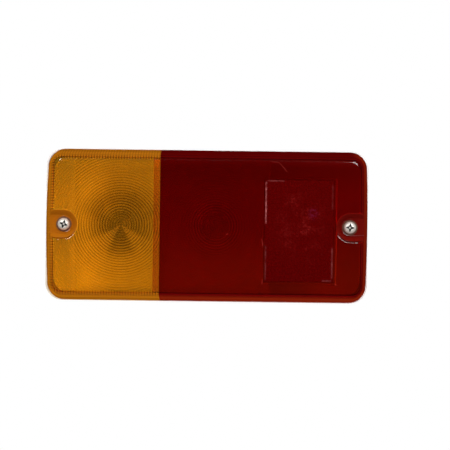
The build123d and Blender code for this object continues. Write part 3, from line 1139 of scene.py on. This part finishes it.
def scuff_and_glint_line(x, z, start, end, width, strength):
    """Thin worn line or painted highlight from one point to another, uneven along its way."""
    way = Vector(end) - Vector(start)
    span = way.length
    way.normalize()
    from_x = minus(x, start[0])
    from_z = minus(z, start[1])
    ahead = plus(times(from_x, way.x), times(from_z, way.y))
    beside = minus(times(from_x, way.y), times(from_z, way.x))
    mask = rise(unsigned(beside), width, SCUFF_AND_GLINT_CORE * width)
    mask = times(mask, rise(ahead, 0.0, SCUFF_AND_GLINT_FADE), rise(ahead, span, span - SCUFF_AND_GLINT_FADE))
    return times(mask, grain(*SCUFF_AND_GLINT_GRAIN, SCUFF_AND_GLINT_LEAST * strength, strength))


def with_scuffs_and_glints(x, z, colour, scuffs_and_glints, width, worn_and_glint_colour):
    """A colour with worn lines and painted highlights over it."""
    for start, end, strength in scuffs_and_glints:
        line = scuff_and_glint_line(x, z, start, end, width, strength)
        colour = tint(line, colour, worn_and_glint_colour)
    return colour


def see_through(colour, roughness, clearness, ior, dye=None, specular=0.5):
    """Moulded clear plastic or glass that lets lamps through, with its dye as a depth of tint."""
    inputs = {
        "Base Color": colour,
        "Roughness": roughness,
        "Transmission Weight": clearness,
        "IOR": ior,
        "Specular IOR Level": specular,
    }
    shine = node("BsdfPrincipled", inputs).outputs[0]
    through = node("BsdfTransparent").outputs[0]
    path = node("LightPath")
    outputs = {"Surface": either(path.outputs["Is Shadow Ray"], shine, through)}
    if dye:
        colour_of_dye, density = dye
        absorb = node("VolumeAbsorption", {"Color": colour_of_dye, "Density": density})
        outputs["Volume"] = absorb.outputs[0]
    node("OutputMaterial", outputs)


def lens_plastic(name, look, matt=False):
    """Dyed lens: polished front with painted shade and light over its rings, hazier walls with painted light
    towards the foot and on the rounding, pockets, and worn lines with painted highlights.
    """
    material = new_material(name)
    x, height, z = spot()
    edge = past_border(x, z)
    mouth = past_pocket(x, z)
    outer = calc("MAXIMUM", edge, mouth)
    across = minus(x, look["ring_centre"])
    radius = length(across, z)
    shade = ring_shade(across, z, radius, look)
    # Painted light and shade across the lens, for how the light falls inside the lamp
    shade = times(shade, *[rise(x, *step) for step in look["painted_light_x"]])
    shade = times(shade, *[rise(z, *step) for step in look["painted_light_z"]])
    # The amber also gets its painted shade in the middle and painted light in diagonal wedges
    if look["amber"]:
        shade = times(shade, wedge_shade(across, z, radius))
    body = tint(rise(z, *BODY_SPAN), look["upper"], look["lower"])
    front = dimmed(body, shade)
    wall = tint(grain(*WALL_CLOUD), look["wall"], look["wall_cloud"])
    if look["amber"]:
        front = filtered(front, lap_tint(x))
        fluted = filtered(wall, flutes(x, z, FLUTE_SHADE))
        wall = tint(rise(edge, *FLUTE_EDGE), wall, fluted)
    # Painted light from the floor on the walls towards the foot
    foot = times(rise(edge, *FOOT_EDGE), painted_foot_light(x, z))
    wall = tint(foot, wall, look["foot"])
    wall = filtered(wall, rise(edge, *SKIRT_EDGE, 1.0, look["skirt_shade"]))
    in_pocket = times(rise(mouth, *MOUTH_EDGE), rise(height, *POCKET_SPAN))
    wall = tint(in_pocket, wall, look["pocket"])
    colour = tint(rise(outer, *WALL_EDGE), front, wall)
    # Painted light on the rounding where little light falls
    if not matt:
        colour = filtered(colour, painted_edge_light(x, z, edge, mouth, look["edge_light"]))
    # Dashes of painted shade where the flutes meet the front
    if look["amber"]:
        colour = filtered(colour, teeth(x, z, edge, mouth))
    # Worn lines and painted highlights on the lens
    colour = with_scuffs_and_glints(x, z, colour, look["scuffs_and_glints"], RED_SCUFF_AND_GLINT_WIDTH, RED_WORN_AND_GLINT)
    if matt:
        see_through(colour, grain(*MATT_GRAIN), 0.0, ACRYLIC_IOR, specular=0.0)
    else:
        clear = rise(outer, *CLEAR_EDGE, FRONT_CLEARNESS, WALL_CLEARNESS)
        see_through(colour, grain(*POLISHED_GRAIN), clear, ACRYLIC_IOR, look["dye"])
    return material


def is_matt(face):
    """Whether a face is matt: side walls, and pockets but for their polished lower edges."""
    middle = face.calc_center_median() / MM
    normal = face.normal
    at_end = abs(middle.x) > MATT_END_X and normal.x * middle.x > MATT_OUTWARD * abs(middle.x)
    at_edge = abs(middle.z) > MATT_EDGE_Z and normal.z * middle.z > MATT_OUTWARD * abs(middle.z)
    on_side = (at_end or at_edge) and MATT_WALL[0] < normal.y < MATT_WALL[1]
    at_pocket = abs(middle.x) > SCREW_X - MATT_POCKET and abs(middle.z) < MATT_POCKET
    in_depth = MATT_DEPTH[0] < -middle.y < MATT_DEPTH[1]
    upper = MATT_UPPER[0] < normal.y < MATT_UPPER[1] and normal.z < MATT_OUTWARD
    lower = MATT_LOWER[0] < normal.y < MATT_LOWER[1]
    return on_side or (at_pocket and in_depth and (upper or lower))


def matt_walls(lens, finish):
    """Give the walls of a lens their matt finish."""
    lens.data.materials.append(finish)
    lens.active_material_index = 1
    edit(lens)
    pick(lens, "FACE", is_matt)
    bpy.ops.object.material_slot_assign()
    done()


def round_patch(x, z, centre, size):
    """Soft patch about a point: one in its middle and nought outside."""
    across = calc("DIVIDE", minus(x, centre[0]), size[0])
    up = calc("DIVIDE", minus(z, centre[1]), size[1])
    return rise(length(across, up), 1.0, PATCH_CORE)


def reflex_plastic(name, dye, first, second):
    """Dyed plastic of the reflex panel, with painted sparkle mottled in its middle, a purplish bloom and
    painted highlights along its edges.
    """
    material = new_material(name)
    x, _, z = spot()
    # Painted sparkle of the prisms, in patches across the middle
    patches = calc("MAXIMUM", grain(*PANEL_PATCHES), 0.0)
    sparkle = calc("MAXIMUM", grain(*PANEL_SPARKLE), 0.0)
    mottle = times(patches, sparkle, round_patch(x, z, *MOTTLE_PLACE))
    colour = tint(mottle, first, second)
    bloom = times(round_patch(x, z, *BLOOM_PLACE), sparkle)
    colour = tint(bloom, colour, PANEL_BLOOM)
    colour = with_scuffs_and_glints(x, z, colour, PANEL_EDGE_GLINTS, PANEL_GLINT_WIDTH, PANEL_GLINT)
    see_through(colour, grain(*PANEL_POLISH), PANEL_CLEARNESS, ACRYLIC_IOR, dye)
    return material


def clear_finish(name, first, second, roughness, ior):
    """Plain clear glass with a faint cloud in it."""
    material = new_material(name)
    colour = tint(grain(*GLASS_CLOUD), first, second)
    see_through(colour, grain(*GLASS_POLISH, *roughness), 1.0, ior)
    return material


def solid_finish(name, first, second, scale, roughness, metallic=0.0, bump=0.02):
    """Opaque finish with clouded colour, uneven roughness and a fine grain."""
    material = new_material(name)
    inputs = {
        "Base Color": tint(grain(scale, CLOUD_DETAIL, 0.0, 1.0), first, second),
        "Roughness": grain(scale * ROUGH_FINER, ROUGH_DETAIL, *roughness),
        "Metallic": metallic,
        "Normal": relief(grain(*FINE_GRAIN), bump),
    }
    shine = node("BsdfPrincipled", inputs)
    node("OutputMaterial", {"Surface": shine.outputs[0]})
    return material


def dress(obj, material):
    obj.data.materials.clear()
    obj.data.materials.append(material)


def place(piece, node_name, material):
    """Dress a piece, let it ride on the lamp and stand for its CAD node."""
    if material:
        dress(piece, material)
    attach(piece, "root")
    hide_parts(node_name)


# The painted light and shade of a lens falls in steps; each step of a fall goes from one place to another and
# from one brightness to another. The foot colour is painted light on the walls towards the foot.
AMBER_LOOK = {
    "amber": True,
    "dye": ((0.98, 0.89, 0.12), 800.0),
    "upper": (0.86, 0.46, 0.02),
    "lower": (0.86, 0.47, 0.02),
    "wall": (0.57, 0.18, 0.007),
    "wall_cloud": (0.53, 0.165, 0.006),
    "foot": (0.76, 0.24, 0.008),
    "pocket": (0.47, 0.14, 0.005),
    "skirt_shade": 0.75,
    "edge_light": (0.2, 0.42),
    "ring_centre": TURN_X,
    "ring_shade_depth": (0.43, 0.08, 0.5),
    "ring_fade": (28.0, 44.0),
    "painted_light_x": ((-84.0, -62.0, 0.93, 0.74), (-93.0, -91.0, 1.45, 1.02)),
    "painted_light_z": ((-40.0, 30.0, 0.97, 1.05), (38.0, 43.0, 1.0, 1.12)),
    "scuffs_and_glints": (),
}
RED_LOOK = {
    "amber": False,
    "dye": ((0.80, 0.05, 0.02), 700.0),
    "upper": (0.4, 0.002, 0.001),
    "lower": (0.4, 0.013, 0.001),
    "wall": (0.125, 0.001, 0.001),
    "wall_cloud": (0.112, 0.001, 0.001),
    "foot": (0.38, 0.024, 0.005),
    "pocket": (0.165, 0.005, 0.003),
    "skirt_shade": 0.85,
    "edge_light": (0.8, 0.35),
    "ring_centre": STOP_X,
    "ring_shade_depth": (0.15, 0.0, 0.0),
    "ring_fade": (20.0, 45.0),
    "painted_light_x": ((20.0, 95.0, 1.0, 1.25),),
    "painted_light_z": ((-42.0, 42.0, 0.8, 0.62), (41.0, 45.0, 1.0, 1.25)),
    "scuffs_and_glints": RED_SCUFFS_AND_GLINTS,
}
AMBER = lens_plastic("amber_dye", AMBER_LOOK)
MATT_AMBER = lens_plastic("amber_matt", AMBER_LOOK, matt=True)
RED = lens_plastic("red_dye", RED_LOOK)
MATT_RED = lens_plastic("red_matt", RED_LOOK, matt=True)
REFLEX = reflex_plastic("reflex_dye", ((0.80, 0.05, 0.02), 500.0), (0.18, 0.001, 0.001), (0.42, 0.02, 0.018))
PALE_RED = solid_finish("cover_red", (0.6, 0.05, 0.03), (0.5, 0.04, 0.03), 80.0, (0.4, 0.5))
PALE_RUBBER = solid_finish(
    "pale_rubber", (0.78, 0.76, 0.72), (0.72, 0.7, 0.66), 90.0, (0.5, 0.65), bump=0.04
)
GREY_PLASTIC = solid_finish("moulded_grey", (0.88, 0.87, 0.85), (0.84, 0.83, 0.81), 60.0, (0.38, 0.5))
RUBBER = solid_finish(
    "black_rubber", (0.02, 0.02, 0.021), (0.035, 0.034, 0.033), 120.0, (0.6, 0.8), bump=0.05
)
BROWN_RUBBER = solid_finish(
    "brown_rubber", (0.15, 0.07, 0.035), (0.12, 0.055, 0.03), 120.0, (0.6, 0.8), bump=0.05
)
BRIGHT = solid_finish("bright_paint", (0.88, 0.88, 0.87), (0.82, 0.82, 0.81), 50.0, (0.3, 0.42), metallic=0.2)
BRASS = solid_finish("aged_brass", (0.62, 0.46, 0.2), (0.5, 0.36, 0.15), 90.0, (0.28, 0.45), metallic=1.0)
BOARD = solid_finish("pressed_board", (0.12, 0.06, 0.03), (0.17, 0.09, 0.045), 200.0, (0.5, 0.7))
STEEL = solid_finish("plated_steel", (0.86, 0.82, 0.75), (0.74, 0.7, 0.62), 220.0, (0.3, 0.45), metallic=0.45)
# Near-black finish for the walls of the screw cross: painted shade
RECESS_PAINTED_SHADE = solid_finish(
    "recess_painted_shade", (0.02, 0.018, 0.016), (0.04, 0.036, 0.03), 300.0, (0.5, 0.7), metallic=0.2
)
GLASS = clear_finish("clear_glass", (1, 1, 1), (0.96, 0.97, 0.97), (0.012, 0.028), GLASS_IOR)


def make_floor():
    """Pale floor that the camera sees as plain white."""
    unpick_objects()
    bpy.ops.mesh.primitive_plane_add(size=FLOOR_SIZE, location=(0, 0, FLOOR_Z))
    floor = bpy.context.object
    floor.name = "floor"
    material = new_material("pale_floor")
    lit = node("BsdfDiffuse", {"Color": FLOOR_COLOUR}).outputs[0]
    dim = node("Emission", {"Strength": ROOM_IN_GLOSS}).outputs[0]
    white = node("Emission", {"Strength": 1.0}).outputs[0]
    path = node("LightPath")
    for_gloss = either(path.outputs["Is Glossy Ray"], lit, dim)
    for_camera = either(path.outputs["Is Camera Ray"], for_gloss, white)
    node("OutputMaterial", {"Surface": for_camera})
    dress(floor, material)


def make_world():
    """White to the camera, a white card behind the lamp to metal and glass, and a dim room elsewhere."""
    world = bpy.data.worlds.new("studio")
    bpy.context.scene.world = world
    start_canvas(world)
    path = node("LightPath")
    direction = node("TexCoord").outputs["Generated"]
    split = node("SeparateXYZ", {"Vector": direction})
    card_start = cos(radians(CARD_ANGLE))
    card_full = cos(radians(CARD_ANGLE - CARD_SOFT))
    card = spread(split.outputs["Y"], card_start, card_full, 0.0, 1.0)
    in_card = times(path.outputs["Is Glossy Ray"], card)
    straight = calc("MAXIMUM", path.outputs["Is Camera Ray"], path.outputs["Is Transmission Ray"])
    level = spread(path.outputs["Is Glossy Ray"], 0.0, 1.0, ROOM_LIGHT, ROOM_IN_GLOSS)
    room = node("Background", {"Color": ROOM_COLOUR, "Strength": level}).outputs[0]
    white = node("Background", {"Color": (1, 1, 1), "Strength": 1.0}).outputs[0]
    node("OutputWorld", {"Surface": either(calc("MAXIMUM", straight, in_card), room, white)})


def softbox(name, location, width, height, power, mirrored, shape="RECTANGLE"):
    """Flat lamp turned towards the part, and whether polished surfaces mirror it."""
    lamp = bpy.data.lights.new(name, "AREA")
    lamp.shape = shape
    lamp.size = width
    lamp.size_y = height
    lamp.energy = power
    obj = bpy.data.objects.new(name, lamp)
    bpy.context.scene.collection.objects.link(obj)
    obj.visible_glossy = mirrored
    obj.location = location
    aim = Vector(LAMP_AIM) - Vector(location)
    obj.rotation_euler = aim.to_track_quat("-Z", "Y").to_euler()


def make_camera():
    """Camera in front of the lens, rolled and shifted as the photo is."""
    camera = bpy.data.cameras.new("camera")
    camera.sensor_width = SENSOR_WIDTH
    reach = CAMERA_DISTANCE - LENS_FRONT * MM
    camera.lens = SENSOR_WIDTH * reach / (PHOTO_SIDE * FRONT_SCALE * MM)
    camera.shift_x = (PHOTO_SIDE / 2 - LENS_CENTRE_PX[0]) / PHOTO_SIDE
    camera.shift_y = (LENS_CENTRE_PX[1] - PHOTO_SIDE / 2) / PHOTO_SIDE
    obj = bpy.data.objects.new("camera", camera)
    bpy.context.scene.collection.objects.link(obj)
    obj.location = (0, -CAMERA_DISTANCE, 0)
    turn = Matrix.Rotation(pi / 2, 3, "X") @ Matrix.Rotation(radians(ROLL), 3, "Z")
    obj.rotation_euler = turn.to_euler()
    bpy.context.scene.camera = obj


amber_lens, red_lens = part_lenses(lens_shell())
for opening in (PANEL_WINDOW, PANEL_REBATE):
    carve(red_lens, panel_tool(*opening))
lens_foot = lens_outside("lens_foot", GASKET_STEP)
bow_ends((amber_lens, red_lens, lens_foot))
for lens in (amber_lens, red_lens):
    close_slivers(lens)
    crisp_skirt(lens)
    smooth(lens, LENS_SMOOTH)
place(amber_lens, "amber_lens", AMBER)
place(red_lens, "red_lens", RED)
matt_walls(amber_lens, MATT_AMBER)
matt_walls(red_lens, MATT_RED)
place(gasket_ring(lens_foot), "lens_gasket", PALE_RUBBER)
place(reflex_panel(), "reflex_reflector", REFLEX)
for side, turn in zip(SIDES, SCREW_TURNS):
    place(lens_screw(side, turn), "lens_screws", None)
    place(screw_seal(side), "screw_seals", BROWN_RUBBER)
    place(stud(side), "mounting_studs", STEEL)
for name, x in (("turn_bulb", TURN_X), ("stop_bulb", STOP_X)):
    for piece, material in zip(bulb(name, x), (GLASS, BRASS, GLASS)):
        place(piece, name, material)

CAD_FINISHES = {
    "reflex_cover": PALE_RED,
    "lamp_housing": GREY_PLASTIC,
    "rear_gasket": RUBBER,
    "turn_reflector": BRIGHT,
    "stop_reflector": BRIGHT,
    "turn_socket_shell": BRASS,
    "stop_socket_shell": BRASS,
    "turn_socket_insulator": BOARD,
    "stop_socket_insulator": BOARD,
    "turn_contact_leaf": BRASS,
    "tail_contact_leaf": BRASS,
    "stop_contact_leaf": BRASS,
    "earth_strap": BRASS,
}
for name, material in CAD_FINISHES.items():
    dress(nodes[name], material)

make_floor()
make_world()
softbox("overhead", (0.1, -0.9, 0.95), 1.0, 0.6, 5.1, False)
softbox("left_side", (-1.1, -0.7, 0.35), 0.4, 0.6, 2.2, False)
softbox("right_side", (1.1, -0.7, 0.5), 0.4, 0.6, 1.7, False)
softbox("right_key", (0.485, -1.4, 0.5), 0.57, 0.54, 7.2, True, "ELLIPSE")
softbox("left_key", (-0.475, -1.4, 0.5), 0.36, 0.42, 4.7, True, "ELLIPSE")
softbox("top_glint", (0.1, -1.4, 0.62), 0.9, 0.05, 0.14, True)
make_camera()
bpy.context.scene.view_settings.view_transform = "Standard"
